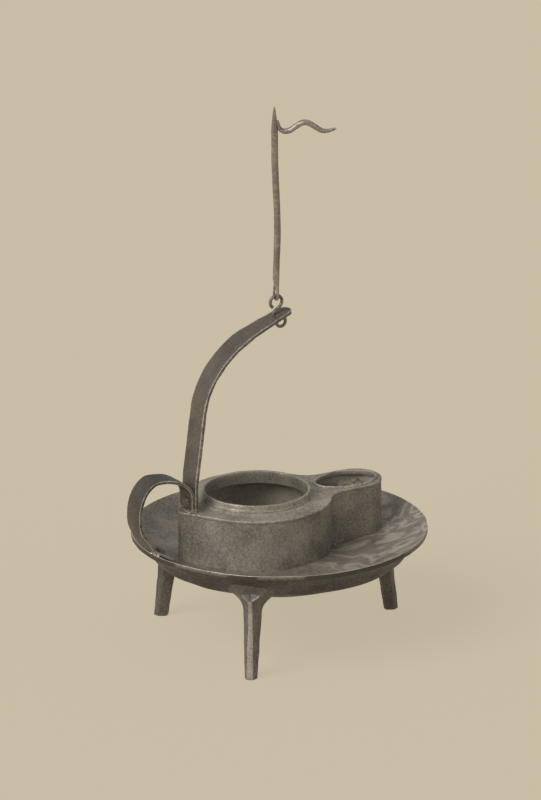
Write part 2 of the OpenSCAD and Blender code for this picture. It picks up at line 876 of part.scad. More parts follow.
module handle_rivet() {
    color("#a39a90")
        on_stand()
            at_handle_rivet()
                translate([0, 0, -tray_t])
                    rivet(tray_t + strap_gap + strap_t);
}

// Link, an open S of wire through the hole, straight where it passes the arm
link_rise = arm_t / 2 + wire_r / 2;
link_end = -arm_t / 2 - tuck_gap;
link_path = [
    [link_drop + link_end, 0, 0],
    [0, link_hook_r, -180],
    [link_drop + link_rise, 0, 0],
    [0, link_bend_r, -link_bend],
    [link_run, 0, 0],
    [0, link_eye_r, link_eye]
];
module link() {
    color("#4a4340")
        at_hole()
            translate([2 * link_hook_r, 0, link_end])
                rotate([90, 90, 0])
                    wire(link_path, wire_r);
}

// Hanger, whose eye turns on the top of the link's eye
eye_start = along(along([0, link_rise, 90], link_path[3], 1), link_path[4], 1);
eye_mid = [eye_start[0] - link_eye_r * sin(eye_start[2]), eye_start[1] + link_eye_r * cos(eye_start[2])];
pivot_x = hole_at[0] + eye_mid.x * cos(arm_tilt) - eye_mid.y * sin(arm_tilt);
pivot_z = hole_at[1] + eye_mid.x * sin(arm_tilt) + eye_mid.y * cos(arm_tilt) + link_eye_r;
module on_hanger() {
    on_font()
        translate([pivot_x, 0, pivot_z])
            children();
}
rod_sides = 14;
rod_steps = 14;
neck_steps = 8;
spike_steps = 6;
// Height at which the two strands of the folded eye begin to close, and the length of the neck to the full rod
neck_z = 0.4;
neck_len = 8.5;
// Height of the eye's straight ends, and how much thinner the strands begin inside them
eye_h = 1;
strand_step = 0.1;
// Radius of the strand's tail at its end, and its place beside the rod
tail_r = 0.4;
tail_y = 0.95;
tail_steps = 7;
// Share of the rod's length that bows out sideways
bow_end = 0.75;
// Radius at the very end of the point, and how full the point is before it
spike_r = 0.3;
spike_full = 1.7;
// A smooth step from 0 to 1
function ease(t) = (1 - cos(180 * max(0, min(1, t)))) / 2;
function rod_ring(z, grow = 0) =
    let (neck = ease((z - neck_z) / neck_len))
    let (bow = rod_bow * ease(2 * (1 - abs(2 * z / (hanger_len * bow_end) - 1))))
    let (point = max(0, (z - hanger_len + spike_len) / spike_len))
    let (r = (strand_r + (rod_r - strand_r) * neck) * (1 - pow(point, spike_full)) + spike_r * point + grow)
    [
        for (k = [0:rod_sides - 1])
            let (a = 360 * k / rod_sides)
            [
                bow * neck * cos(hook_turn) + r * cos(a),
                -rod_eye_r * (1 - neck) + bow * neck * sin(hook_turn) + r * sin(a),
                z
            ]
    ];
function tail_ring(t) =
    let (r = t == 0 ? strand_r - strand_step : strand_r + (tail_r - strand_r) * t)
    [
        for (k = [0:rod_sides - 1])
            let (a = 360 * k / rod_sides)
            [
                r * cos(a),
                rod_eye_r + (tail_y - rod_eye_r) * ease(t) + r * sin(a),
                neck_z + (tail_len - neck_z) * t
            ]
    ];
spike_z = hanger_len - spike_len;
module hanger_rod() {
    rod_z = neck_z + neck_len;
    color("#63584d")
        on_hanger() {
            skin(concat(
                [rod_ring(neck_z, -strand_step)],
                [for (i = [1:neck_steps - 1]) rod_ring(neck_z + neck_len * i / neck_steps)],
                [for (i = [0:rod_steps]) rod_ring(rod_z + (spike_z - rod_z) * i / rod_steps)],
                [for (i = [1:spike_steps]) rod_ring(spike_z + spike_len * i / spike_steps)]
            ));
            rotate([0, -90, 0])
                rotate([0, 0, 90])
                    rotate_extrude(angle = 180)
                        translate([rod_eye_r, 0])
                            circle(strand_r);
            for (s = [-1, 1])
                translate([0, s * rod_eye_r, 0])
                    cylinder(h = eye_h, r = strand_r);
            skin([for (i = [0:tail_steps]) tail_ring(i / tail_steps)]);
        }
}

// Hook, drawn from the side of the spike, bent out and waved to a fine tip
hook_steps = 28;
hook_sides = 12;
// The root's middle lies this share of its radius outside the rod
hook_sink = 0.3;
// Angle between the root and the spike
scarf_lean = 14.5;
scarf_turn = 90 - scarf_lean;
scarf_x = rod_r + hook_r * hook_sink;
dip_x = scarf_x + scarf_bend_r * sin(scarf_turn);
dip_z = hanger_len - hook_down;
bend_z = dip_z + scarf_bend_r * (1 - cos(scarf_turn));
scarf_path = stations(
    [[scarf_len, 0, 0], [0, scarf_bend_r, scarf_turn]],
    [scarf_x - scarf_len * cos(scarf_turn), bend_z + scarf_len * sin(scarf_turn), -scarf_turn]
);
// Height of the wave's last rise towards the tip
tip_amp = 1;
wave_path = [
    for (i = [1:hook_steps])
        let (x = (hook_reach - dip_x) * i / hook_steps, a = 360 * x / hook_wave)
        let (amp = a > 360 ? tip_amp : hook_amp)
        [dip_x + x, dip_z + amp * (1 - cos(a)), atan2(2 * PI * amp * sin(a), hook_wave)]
];
hook_path = concat(scarf_path, wave_path);
function hook_ring(s, r) = [
    for (k = [0:hook_sides - 1])
        let (a = 360 * k / hook_sides)
        [s[0] - r * cos(a) * sin(s[2]), -r * sin(a), s[1] + r * cos(a) * cos(s[2])]
];
// Radius of the hook along its length: it thins towards the root's beginning and towards the tip
scarf_part = len(scarf_path) / len(hook_path);
scarf_r = 0.6;
hook_full = 4;
function hook_size(f) =
    f < scarf_part
    ? scarf_r + (hook_r - scarf_r) * f / scarf_part
    : hook_r + (hook_tip_r - hook_r) * pow((f - scarf_part) / (1 - scarf_part), hook_full);
module hanger_hook() {
    n = len(hook_path) - 1;
    color("#5a5047")
        on_hanger()
            difference() {
                rotate([0, 0, hook_turn])
                    skin([for (i = [0:n]) hook_ring(hook_path[i], hook_size(i / n))]);
                skin(concat(
                    [rod_ring(spike_z - spike_len / 2, seam / 2)],
                    [for (i = [0:spike_steps]) rod_ring(spike_z + spike_len * i / spike_steps, seam / 2)]
                ));
            }
}

base_bowl();
drip_tray();
leg_front();
leg_left();
leg_right();
leg_washers();
font_wall();
font_floor();
font_deck();
filler_collar();
wick_trough();
trough_rivet();
wick();
arm();
handle();
arm_rivet();
handle_rivet();
link();
hanger_rod();
hanger_hook();
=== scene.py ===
import math

import bmesh
import bpy
from mathutils import Matrix, Vector, geometry, noise


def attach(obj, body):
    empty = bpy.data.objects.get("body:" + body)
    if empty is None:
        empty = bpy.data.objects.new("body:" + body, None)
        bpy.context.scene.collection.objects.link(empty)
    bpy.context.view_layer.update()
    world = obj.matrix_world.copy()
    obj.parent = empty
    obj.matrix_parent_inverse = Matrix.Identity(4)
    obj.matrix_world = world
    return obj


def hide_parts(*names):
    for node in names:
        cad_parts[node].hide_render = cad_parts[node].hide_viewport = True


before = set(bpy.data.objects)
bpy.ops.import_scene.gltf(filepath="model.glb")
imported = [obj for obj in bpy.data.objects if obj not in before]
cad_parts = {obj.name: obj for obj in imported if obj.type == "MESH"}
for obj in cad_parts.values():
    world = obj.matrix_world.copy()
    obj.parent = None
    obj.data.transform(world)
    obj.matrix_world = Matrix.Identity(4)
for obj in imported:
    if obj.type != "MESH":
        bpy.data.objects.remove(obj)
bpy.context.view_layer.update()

# Camera: it looks at the lamp from the handle's side and from a little above,
# through a long lens that keeps the uprights nearly parallel.
view_mm, lens_mm, sensor_mm = 364.8, 1000, 36
turn, lift, roll = math.radians(-29), math.radians(19.3), math.radians(0.5)
rim_middle = Vector((4.1, 0, 52))
aim_across, aim_up = -3.92, 57.6
back = Vector((math.sin(turn) * math.cos(lift), -math.cos(turn) * math.cos(lift), math.sin(lift)))
level = Vector((math.cos(turn), math.sin(turn), 0))
upright = back.cross(level)
across = level * math.cos(roll) - upright * math.sin(roll)
upwards = upright * math.cos(roll) + level * math.sin(roll)
middle = rim_middle + aim_across * across + aim_up * upwards
place = (middle + back * view_mm * lens_mm / sensor_mm) / 1000
lens = bpy.data.cameras.new("long_lens")
lens.lens = lens_mm
camera = bpy.data.objects.new("camera", lens)
camera.matrix_world = Matrix.Translation(place) @ Matrix((across, upwards, back)).transposed().to_4x4()
bpy.context.scene.collection.objects.link(camera)
bpy.context.scene.camera = camera

# Base bowl: the deep outer dish of the stand, sand-cast in grey iron with a flat bottom.
# The tray lies in it, and the three legs are riveted through its lower corner.
stand_x = 4.1
bowl_line = [(66.55, 50.17, 0), (60.55, 44.6, 0.6), (56.85, 38.8, 1.6), (41, 32.4, 1.2), (0, 32.4, 0)]
bowl_inside = [
    (0, 34.2, 0), (40.6, 34.2, 1.2), (55.4, 40.2, 1.6), (58.9, 45.4, 0.6), (65.2, 49.3, 0), (66.55, 50.17, 0),
]


def turned(line, x, steps=144):
    """Corners (radius, height, rounding) in millimetres, turned once round the upright axis at x."""
    longest_edge = 2.5
    bm = bmesh.new()
    corners = [bm.verts.new((r, 0, z)) for r, z, _ in line]
    for pair in zip(corners, corners[1:]):
        if pair[0].co.x or pair[1].co.x:
            bm.edges.new(pair)
    for corner, (_, _, rounding) in zip(corners, line):
        if rounding:
            bmesh.ops.bevel(
                bm, geom=[corner], offset=rounding, affect="VERTICES", segments=4, profile=0.5, material=-1,
            )
    for edge in bm.edges[:]:
        cuts = int(edge.calc_length() / longest_edge)
        if cuts:
            bmesh.ops.bisect_edges(bm, edges=[edge], cuts=cuts, edge_percents={})
    bmesh.ops.spin(
        bm, geom=bm.verts[:] + bm.edges[:], cent=(0, 0, 0), axis=(0, 0, 1),
        angle=math.tau, steps=steps, use_merge=True,
    )
    bmesh.ops.remove_doubles(bm, verts=bm.verts, dist=0.001)
    bmesh.ops.recalc_face_normals(bm, faces=bm.faces)
    bmesh.ops.translate(bm, verts=bm.verts, vec=(x, 0, 0))
    return bm


def hammered(bm, depth, size, seed):
    """Moves the skin in and out by up to depth, in dents of about the given size in millimetres."""
    bm.normal_update()
    moves = [depth * noise.noise(vert.co / size + Vector((seed, seed, seed))) for vert in bm.verts]
    for vert, move in zip(bm.verts, moves):
        vert.co += vert.normal * move


def wear_and_shade(bm, painted_shade=lambda vert: 0, shine=1):
    """Marks outer edges as rubbed, up to shine, and paints shade into inner corners and wherever the given
    shade function asks for it.
    """
    flat, keen, corner_shade = 0.15, 0.6, 0.7
    bm.normal_update()
    wear_and_light = bm.verts.layers.float.new("wear_and_light")
    shade_mark = bm.verts.layers.float.new("painted_shade")
    for vert in bm.verts:
        bends = [edge.calc_face_angle_signed(0) for edge in vert.link_edges]
        shade_share = painted_shade(vert)
        vert[wear_and_light] = shine * (1 - shade_share) * min(1, max(0, (max(bends) - flat) / (keen - flat)))
        # Painted shade: inner corners and the places the shade function gives are marked dark.
        vert[shade_mark] = max(shade_share, corner_shade * min(1, max(0, (-min(bends) - flat) / (keen - flat))))


def dressed(bm, name, material, body, nodes, sharp=38):
    """Writes the mesh in metres as a piece that rides on a body, and stands for the named nodes."""
    bmesh.ops.scale(bm, verts=bm.verts, vec=(0.001, 0.001, 0.001))
    mesh = bpy.data.meshes.new(name)
    bm.to_mesh(mesh)
    bm.free()
    mesh.shade_smooth()
    mesh.set_sharp_from_angle(angle=math.radians(sharp))
    mesh.materials.append(material)
    piece = bpy.data.objects.new(name, mesh)
    bpy.context.scene.collection.objects.link(piece)
    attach(piece, body)
    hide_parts(*nodes)


def linear(code):
    """An sRGB hex colour as linear values with full alpha."""
    parts = [int(code[i:i + 2], 16) / 255 for i in (1, 3, 5)]
    return [p / 12.92 if p <= 0.04045 else ((p + 0.055) / 1.055) ** 2.4 for p in parts] + [1]


def add(tree, kind, settings, inputs):
    """Adds a node with its settings, and with inputs that are values or other nodes' outputs.

    A mix of colours takes them at the inputs 6 and 7, and gives its result at the output 2.
    """
    node = tree.nodes.new("ShaderNode" + kind)
    for key, value in settings.items():
        setattr(node, key, value)
    for key, value in inputs.items():
        if isinstance(value, bpy.types.NodeSocket):
            tree.links.new(value, node.inputs[key])
        else:
            node.inputs[key].default_value = value
    return node


def iron(name, plain, pale_tone, rough=0.55, blotch_mm=14, relief_mm=0.12, spread=0.45):
    """Iron with a grey-brown oxide skin: cloudy, grained and pitted, rubbed bright on its edges, paler where
    the pale mark holds painted light, and darker where the shade mark holds painted shade.
    """
    grain_mm, pit_mm = 1.1, 2.2
    material = bpy.data.materials.new(name)
    material.use_nodes = True
    tree = material.node_tree
    shader = tree.nodes["Principled BSDF"]
    where = add(tree, "TexCoord", {}, {}).outputs["Object"]
    cloud = add(tree, "TexNoise", {}, {
        "Vector": where, "Scale": 1000 / blotch_mm, "Detail": 4, "Roughness": 0.55,
    })
    grain = add(tree, "TexNoise", {}, {
        "Vector": where, "Scale": 1000 / grain_mm, "Detail": 4, "Roughness": 0.7,
    })
    pits = add(tree, "TexVoronoi", {}, {"Vector": where, "Scale": 1000 / pit_mm})
    hole = add(tree, "MapRange", {"interpolation_type": "SMOOTHSTEP"}, {
        "Value": pits.outputs["Distance"], "From Min": 0.05, "From Max": 0.2,
    })
    tone = add(tree, "Math", {"operation": "MULTIPLY_ADD"}, {0: grain.outputs[0], 1: 1.6, 2: -0.8})
    mixed = add(tree, "Math", {"operation": "ADD"}, {0: cloud.outputs[0], 1: tone.outputs[0]})
    share = add(tree, "MapRange", {}, {"Value": mixed.outputs[0], "From Min": 0.2, "From Max": 0.8})
    middle_tone = linear(plain)[:3]
    skin = add(tree, "Mix", {"data_type": "RGBA"}, {
        "Factor": share.outputs[0],
        6: [c * (1 - spread) for c in middle_tone] + [1],
        7: [c * (1 + spread) for c in middle_tone] + [1],
    })
    # The pale mark: rubbed edges, and on some pieces painted light and painted highlights.
    wear_and_light = add(tree, "Attribute", {"attribute_name": "wear_and_light"}, {})
    pale_breakup = add(tree, "Math", {"operation": "MULTIPLY_ADD"}, {0: mixed.outputs[0], 1: 1.2, 2: -1.45})
    bright = add(tree, "Math", {"operation": "MULTIPLY_ADD", "use_clamp": True}, {
        0: wear_and_light.outputs["Fac"], 1: 1.75, 2: pale_breakup.outputs[0],
    })
    edge = add(tree, "Mix", {"data_type": "RGBA"}, {
        "Factor": bright.outputs[0], 6: skin.outputs[2], 7: linear(pale_tone),
    })
    # Painted shade: the shade mark darkens the colour towards a near black.
    shade_mark = add(tree, "Attribute", {"attribute_name": "painted_shade"}, {})
    shaded_colour = add(tree, "Mix", {"data_type": "RGBA"}, {
        "Factor": shade_mark.outputs["Fac"], 6: edge.outputs[2], 7: linear("#2a2622"),
    })
    pitted = add(tree, "Mix", {"data_type": "RGBA", "blend_type": "MULTIPLY"}, {
        "Factor": 0.3, 6: shaded_colour.outputs[2], 7: hole.outputs[0],
    })
    tree.links.new(pitted.outputs[2], shader.inputs["Base Color"])
    gloss = add(tree, "MapRange", {}, {
        "Value": mixed.outputs[0], "From Min": 0.3, "From Max": 0.75,
        "To Min": rough + 0.1, "To Max": rough - 0.1,
    })
    tree.links.new(gloss.outputs[0], shader.inputs["Roughness"])
    height = add(tree, "Math", {"operation": "MULTIPLY_ADD"}, {
        0: hole.outputs[0], 1: 0.6, 2: grain.outputs[0],
    })
    bump = add(tree, "Bump", {}, {"Strength": 0.7, "Distance": relief_mm / 1000, "Height": height.outputs[0]})
    tree.links.new(bump.outputs[0], shader.inputs["Normal"])
    shader.inputs["Metallic"].default_value = 0.35
    return material


# Sand-cast grey iron: a dull and cloudy skin, a little lighter along its edges, in its own dark grey made
# darker still as painted shade on the bowl under the tray's rim.
cast_iron = iron("sand_cast_iron", "#504b48", "#857b6e", rough=0.6)
bm = turned(bowl_line + bowl_inside, stand_x)
hammered(bm, 0.3, 14, 3)
wear_and_shade(bm)
dressed(bm, "bowl", cast_iron, "lamp", ["base_bowl"])

# Legs: three forged bars of diamond section. Each spreads at the knee into a forked palm
# that lies against the bowl, and a tenon through the bowl is peened over a washer inside.
leg_angles = {"leg_front": 4, "leg_left": 124.5, "leg_right": -131.7}
leg_lean = 8
foot_r, foot_half, shank_half = 60.65, 3, 4.3
foot_ridge, ridge_half, ridge_crown, ridge_band = 1.7, 1.1, 0.2, 1.2
root_low, root_h, palm_top = 28.3, 11.5, 44.6
knee_out, knee_at, fork_at = 2.4, 0.75, 0.55
palm_half, palm_hollow, palm_r = 9.5, 1.6, 60.55
root_side, root_in = 8, 10
tenon_x = 51.05
tenon_steps = ((2, 35.8, 40.8), (3, 40.73, 41.73))
fork_slope, pale_from = 0.85, foot_half - 0.6


def leg_x(z):
    """Distance of the leg's middle line from the stand's axis at the height z."""
    return foot_r - z * math.tan(math.radians(leg_lean))


def leg_ring(z, out, half, hollow, side, inner):
    """Nine corners of the section at the height z: front facet with its bands, sides and inner ridge."""
    x = leg_x(z)
    split = half - min(0.5 * half, ridge_band)
    band = out + max(0, -hollow) * (1 - split / half)
    ends = [(out, -half), (band, -split), (out - hollow, 0), (band, split), (out, half), (0, side)]
    ends += [(-inner, ridge_half), (-inner, -ridge_half), (0, -side)]
    return [Vector((x + px, py, z)) for px, py in ends]


def shank_ring(s):
    """Section at the share s of the way up the shank."""
    half = foot_half + (shank_half - foot_half) * s
    ridge = foot_ridge + (ridge_half - foot_ridge) * s
    return leg_ring(root_low * s, half, ridge, -ridge_crown, half, half)


def root_ring(s):
    """Section at the share s of the way up the root, which widens and forks."""
    spread = s ** 3
    fork = max(0, s - knee_at) / (1 - knee_at)
    knee = shank_half + knee_out * min(1, s / knee_at) ** 2
    return leg_ring(
        root_low + root_h * s,
        knee + (palm_out - knee) * fork,
        ridge_half + (palm_half * fork_at - ridge_half) * fork,
        palm_hollow * fork - ridge_crown * (1 - fork),
        shank_half + root_side * spread,
        shank_half + root_in * spread,
    )


def draw_out(rings):
    """A bar whose end face, the first ring of points, is drawn out through the other rings."""
    bm = bmesh.new()
    first = face = bm.faces.new([bm.verts.new(point) for point in rings[0]])
    for ring in rings[1:]:
        made = bmesh.ops.extrude_face_region(bm, geom=[face])["geom"]
        if face != first:
            bmesh.ops.delete(bm, geom=[face], context="FACES_ONLY")
        face = next(part for part in made if isinstance(part, bmesh.types.BMFace))
        for vert, point in zip(face.verts, ring):
            vert.co = point
    bmesh.ops.recalc_face_normals(bm, faces=bm.faces)
    return bm


def out_of_bowl(vert, sink):
    """Brings a point that is inside the bowl back to just under the bowl's outer line."""
    r = math.hypot(vert.co.x, vert.co.y)
    corners = [Vector((cr, cz)) for cr, cz, _ in bowl_line]
    here = Vector((r, vert.co.z))
    best = None
    for a, b in zip(corners, corners[1:]):
        _, share = geometry.intersect_point_line(here, a, b)
        near = a.lerp(b, min(1, max(0, share)))
        inward = Vector((b.y - a.y, a.x - b.x)).normalized()
        if best is None or (here - near).length < best[0]:
            best = ((here - near).length, near, inward)
    _, near, inward = best
    if (here - near).dot(inward) > sink:
        put = near + inward * sink
        vert.co = Vector((vert.co.x * put.x / r, vert.co.y * put.x / r, put.y))


palm_out = math.sqrt(palm_r ** 2 - palm_half ** 2) - leg_x(palm_top)
palm = leg_ring(
    palm_top, palm_out, palm_half, palm_out + leg_x(palm_top) - palm_r, shank_half + root_side, shank_half,
)
# Forged bar iron: brown-grey and hammered, a little rubbed on its edges. Down the front facet and the inner
# ridge it is painted pale as a painted highlight, and one band of the fork is painted paler than the other as
# painted light.
forged = iron("forged_leg_iron", "#625b55", "#a99f91", rough=0.5)
for seed, (node, angle) in enumerate(leg_angles.items()):
    rings = [shank_ring(i / 12) for i in range(12)] + [root_ring(i / 16) for i in range(17)]
    rings.append([a.lerp(b, 0.5) for a, b in zip(rings[-1], palm)])
    rings.append(palm)
    bm = draw_out(rings)
    ridges = [edge for edge in bm.edges if edge.calc_face_angle(0) > 0.45]
    bmesh.ops.bevel(
        bm, geom=ridges, offset=0.3, affect="EDGES", segments=2, profile=0.5, material=-1, clamp_overlap=True,
    )
    hammered(bm, 0.3, 5, 7 + 5 * seed)
    for vert in bm.verts:
        out_of_bowl(vert, 0.5)
    for radius, low, high in tenon_steps:
        stem = Matrix.Translation((tenon_x, 0, (low + high) / 2))
        bmesh.ops.create_cone(
            bm, cap_ends=True, segments=24, radius1=radius, radius2=radius, depth=high - low, matrix=stem,
        )
    wear_and_shade(bm, shine=0.2)
    # Painted highlight down the front facet and the inner ridge, and painted light stronger on one band of
    # the fork than on the other.
    wear_and_light = bm.verts.layers.float["wear_and_light"]
    for vert in bm.verts:
        knee = vert.co.z - root_low - root_h * knee_at
        facet = max(foot_ridge + (ridge_half - foot_ridge) * vert.co.z / root_low, ridge_half)
        edge = abs(vert.co.y) / (facet + max(0, knee) * fork_slope)
        outward = vert.co.x - leg_x(vert.co.z)
        if outward > pale_from and edge < 0.97 and (knee < 0 or edge > 0.6):
            vert[wear_and_light] = 0.8 if knee < 0 or vert.co.y > 0 else 0.35
        if outward < -pale_from and abs(vert.co.y) < ridge_half and knee < 0:
            vert[wear_and_light] = 0.6
    bmesh.ops.rotate(bm, verts=bm.verts, matrix=Matrix.Rotation(math.radians(angle), 3, "Z"))
    bmesh.ops.translate(bm, verts=bm.verts, vec=(stand_x, 0, 0))
    dressed(bm, "forged_" + node, forged, "lamp", [node])

# Washers: thin rings of the legs' own iron under the peened tenons.
# They are out of sight between the bowl and the tray.
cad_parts["leg_washers"].material_slots[0].material = forged

# Drip tray: a shallow dish raised by hand from sheet iron. It lies in the bowl, and its edge
# is turned down over the bowl's rim, so the rim is a little wavy.
tray_r, hem_r, hem_top = 67.65, 66, 51.5
tray_line = [
    (0, 44.4, 0), (53.55, 44.4, 9), (tray_r, 52, 0.45), (tray_r, 49.4, 0.3), (66.65, 49.4, 0.3),
    (66.65, 50.33, 0), (53.55, 43.26, 9), (0, 43.4, 0),
]
rim_wave, wave_mm, swirl_mm = 0.35, 30, 38
fat_angle = math.radians(-29)
fat_full, fat_end, fat_fade = 35, 22, 16
handle_drops = [(-63.2 + 0.02 * y * y, y, 51.9) for y in (-6.8, -6, -5, -4.2, -3.4, -2.4)]
# Raised sheet iron under old lamp fat: grey-brown and greasy, with pale swirls dried on by the spout.
sheet_iron = iron("greasy_sheet_iron", "#7b7266", "#b9ae9c", rough=0.45)
tree = sheet_iron.node_tree
paint = tree.nodes["Principled BSDF"].inputs["Base Color"]
where = add(tree, "TexCoord", {}, {}).outputs["Object"]
stir = add(tree, "TexNoise", {}, {
    "Vector": where, "Scale": 1000 / swirl_mm, "Detail": 3, "Roughness": 0.45, "Distortion": 1.8,
})
bands = add(tree, "Math", {"operation": "MULTIPLY"}, {0: stir.outputs[0], 1: 7})
swirl = add(tree, "Math", {"operation": "PINGPONG"}, {0: bands.outputs[0], 1: 0.5})
vein = add(tree, "MapRange", {"interpolation_type": "SMOOTHSTEP"}, {
    "Value": swirl.outputs[0], "From Min": 0.15, "From Max": 0.5, "To Min": 0.1, "To Max": 0.65,
})
fat = add(tree, "Attribute", {"attribute_name": "fat"}, {})
film = add(tree, "Math", {"operation": "MULTIPLY"}, {0: vein.outputs[0], 1: fat.outputs["Fac"]})
greasy = add(tree, "Mix", {"data_type": "RGBA"}, {
    "Factor": film.outputs[0], 6: paint.links[0].from_socket, 7: linear("#c2b8a8"),
})
tree.links.new(greasy.outputs[2], paint)


def hem_painted_shade(vert):
    """Painted shade on the turned-down edge, below the rim."""
    return 0.85 if vert.co.z < hem_top and math.hypot(vert.co.x - stand_x, vert.co.y) > hem_r else 0


def lumps(bm, spots, size, seed):
    """Small bright drops of brazing metal, strewn about the given spots."""
    wear_and_light = bm.verts.layers.float["wear_and_light"]
    for i, spot in enumerate(spots):
        shift = noise.noise_vector(Vector((1.7 * i, seed, 0.5)))
        drop = Matrix.Translation(Vector(spot) + 0.8 * shift) @ Matrix.Diagonal((1.3, 1.3, 0.7, 1))
        made = bmesh.ops.create_icosphere(bm, subdivisions=2, radius=size * (0.6 + abs(shift.x)), matrix=drop)
        for vert in made["verts"]:
            vert[wear_and_light] = 0.75


# The scatter of the drops has a fixed seed, so that each run strews them alike.
drop_seed = 4
noise.seed_set(drop_seed)
bm = turned(tray_line, stand_x, steps=180)
for vert in bm.verts:
    out = math.hypot(vert.co.x - stand_x, vert.co.y) / tray_r
    vert.co.z += rim_wave * out ** 6 * noise.noise(vert.co / wave_mm + Vector((2, 5, 0)))
hammered(bm, 0.18, 8, 21)
wear_and_shade(bm, hem_painted_shade)
lumps(bm, handle_drops, 0.65, 3)
fat = bm.verts.layers.float.new("fat")
for vert in bm.verts:
    spoutward = (vert.co.x - stand_x) * math.cos(fat_angle) + vert.co.y * math.sin(fat_angle)
    near = min(1, max(0, (fat_end - vert.co.y) / fat_fade))
    vert[fat] = near * min(1, max(0, spoutward / fat_full)) if vert.normal.z > 0.5 else 0
dressed(bm, "tray", sheet_iron, "lamp", ["drip_tray"])

# Font floor, wick trough and its rivet: plain sheet iron inside the font, painted pale as painted light where
# the font's inside lies in shade.
# The floor is brazed in and the trough's tab is riveted to it. Only glimpses of them show from above.
inner_iron_painted_pale = iron("inner_sheet_iron_painted_pale", "#aaa298", "#aaa298", rough=0.5)
for node in ("font_floor", "wick_trough", "trough_rivet"):
    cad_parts[node].material_slots[0].material = inner_iron_painted_pale

# Wick: three strands of cotton rag twisted together. It lies in the trough, soaked with fat,
# and its end frays out in the mouth, where it is charred.
wick_tip = Vector((42.95, 0, 63.6))
wick_slope = 28
wick_len, wick_r = 25.4, 5.45
strand_r, strand_turn, twist_len, strand_steps = 2.75, 2.55, 34, 44
strand_sides, fold_depth, fold_count, fold_drift = 16, 0.1, 5, 0.9
tip_len, tip_step, tip_pull = 5.2, 0.5, 0.35
low_end, low_round, low_pull = 0.15, 1.2, 0.35
char_from, char_rise = 61, 5
fibre_mm, stain_mm = 0.8, 4
head_at = Vector((41.9, 0, 65.2))
head_long, head_wide, head_up, head_down = 5.9, 6.5, 2.2, 1.2


def wick_ring(strand, s):
    """Ring of one strand at the distance s up from the wick's lower end, along +Z."""
    turn_at = math.tau * (strand / 3 + s / twist_len)
    end = max(0, s - wick_len) / (tip_len + 0.1 - tip_step * strand)
    low = max(0, 1 - s / low_round)
    size = strand_r * math.sqrt(max(0.01, 1 - end ** 2)) * (1 - low_pull * low ** 2)
    centre = strand_turn * (1 - tip_pull * end) * Vector((math.cos(turn_at), math.sin(turn_at), 0))
    ring = []
    for side in range(strand_sides):
        a = math.tau * side / strand_sides
        fold = 1 + fold_depth * math.sin(fold_count * a + s * fold_drift + strand)
        ring.append(centre + Vector((size * fold * math.cos(a), size * fold * math.sin(a), s)))
    return ring


def join(whole, bm):
    """Adds one closed mesh to another."""
    mesh = bpy.data.meshes.new("joined")
    bm.to_mesh(mesh)
    bm.free()
    whole.from_mesh(mesh)
    bpy.data.meshes.remove(mesh)


whole = bmesh.new()
for strand in range(3):
    rise = (wick_len + tip_len - tip_step * strand - low_end) / strand_steps
    bm = draw_out([wick_ring(strand, low_end + rise * i) for i in range(strand_steps + 1)])
    hammered(bm, 0.45, 1.6, 31 + strand)
    for vert in bm.verts:
        most = math.sqrt(max(0.04, wick_r ** 2 - max(0, vert.co.z - wick_len) ** 2))
        inside = min(1, most / math.hypot(vert.co.x, vert.co.y))
        vert.co.x *= inside
        vert.co.y *= inside
    join(whole, bm)
lean = Matrix.Rotation(math.radians(90 - wick_slope), 4, "Y")
laid_down = Matrix.Translation(wick_tip) @ lean @ Matrix.Translation((0, 0, -wick_len))
bmesh.ops.transform(whole, verts=whole.verts, matrix=laid_down)
head = bmesh.new()
bmesh.ops.create_icosphere(head, subdivisions=5, radius=1)
for vert in head.verts:
    x, y, z = vert.co
    vert.co = head_at + Vector((head_long * x, head_wide * y, z * (head_up if z > 0 else head_down)))
hammered(head, 0.9, 2.6, 35)
hammered(head, 0.3, 1.1, 36)
join(whole, head)
char = whole.verts.layers.float.new("char")
for vert in whole.verts:
    vert[char] = min(1, max(0, (vert.co.z - char_from) / char_rise))
# Cotton rag soaked in fat: brown-grey fibres that lie along the wick, with dark char towards the flame.
cotton = bpy.data.materials.new("charred_cotton_rag")
cotton.use_nodes = True
tree = cotton.node_tree
shader = tree.nodes["Principled BSDF"]
where = add(tree, "TexCoord", {}, {}).outputs["Object"]
laid = add(tree, "Mapping", {}, {
    "Vector": where, "Rotation": (0, math.radians(wick_slope), 0), "Scale": (0.25, 1, 1),
})
fibre = add(tree, "TexNoise", {}, {
    "Vector": laid.outputs[0], "Scale": 1000 / fibre_mm, "Detail": 4, "Roughness": 0.65,
})
stain = add(tree, "TexNoise", {}, {"Vector": where, "Scale": 1000 / stain_mm, "Detail": 3})
spun = add(tree, "MapRange", {}, {"Value": fibre.outputs[0], "From Min": 0.3, "From Max": 0.7})
thread = add(tree, "Mix", {"data_type": "RGBA"}, {
    "Factor": spun.outputs[0], 6: linear("#453d34"), 7: linear("#8f8471"),
})
char = add(tree, "Attribute", {"attribute_name": "char"}, {})
burnt = add(tree, "Math", {"operation": "MULTIPLY_ADD", "use_clamp": True}, {
    0: stain.outputs[0], 1: 2.6, 2: -1,
})
share = add(tree, "Math", {"operation": "MULTIPLY", "use_clamp": True}, {
    0: burnt.outputs[0], 1: char.outputs["Fac"],
})
colour = add(tree, "Mix", {"data_type": "RGBA"}, {
    "Factor": share.outputs[0], 6: thread.outputs[2], 7: linear("#39342e"),
})
tree.links.new(colour.outputs[2], shader.inputs["Base Color"])
bump = add(tree, "Bump", {}, {"Strength": 0.8, "Distance": 0.0004, "Height": fibre.outputs[0]})
tree.links.new(bump.outputs[0], shader.inputs["Normal"])
shader.inputs["Roughness"].default_value = 0.85
dressed(whole, "rag_wick", cotton, "wick", ["wick"], sharp=80)

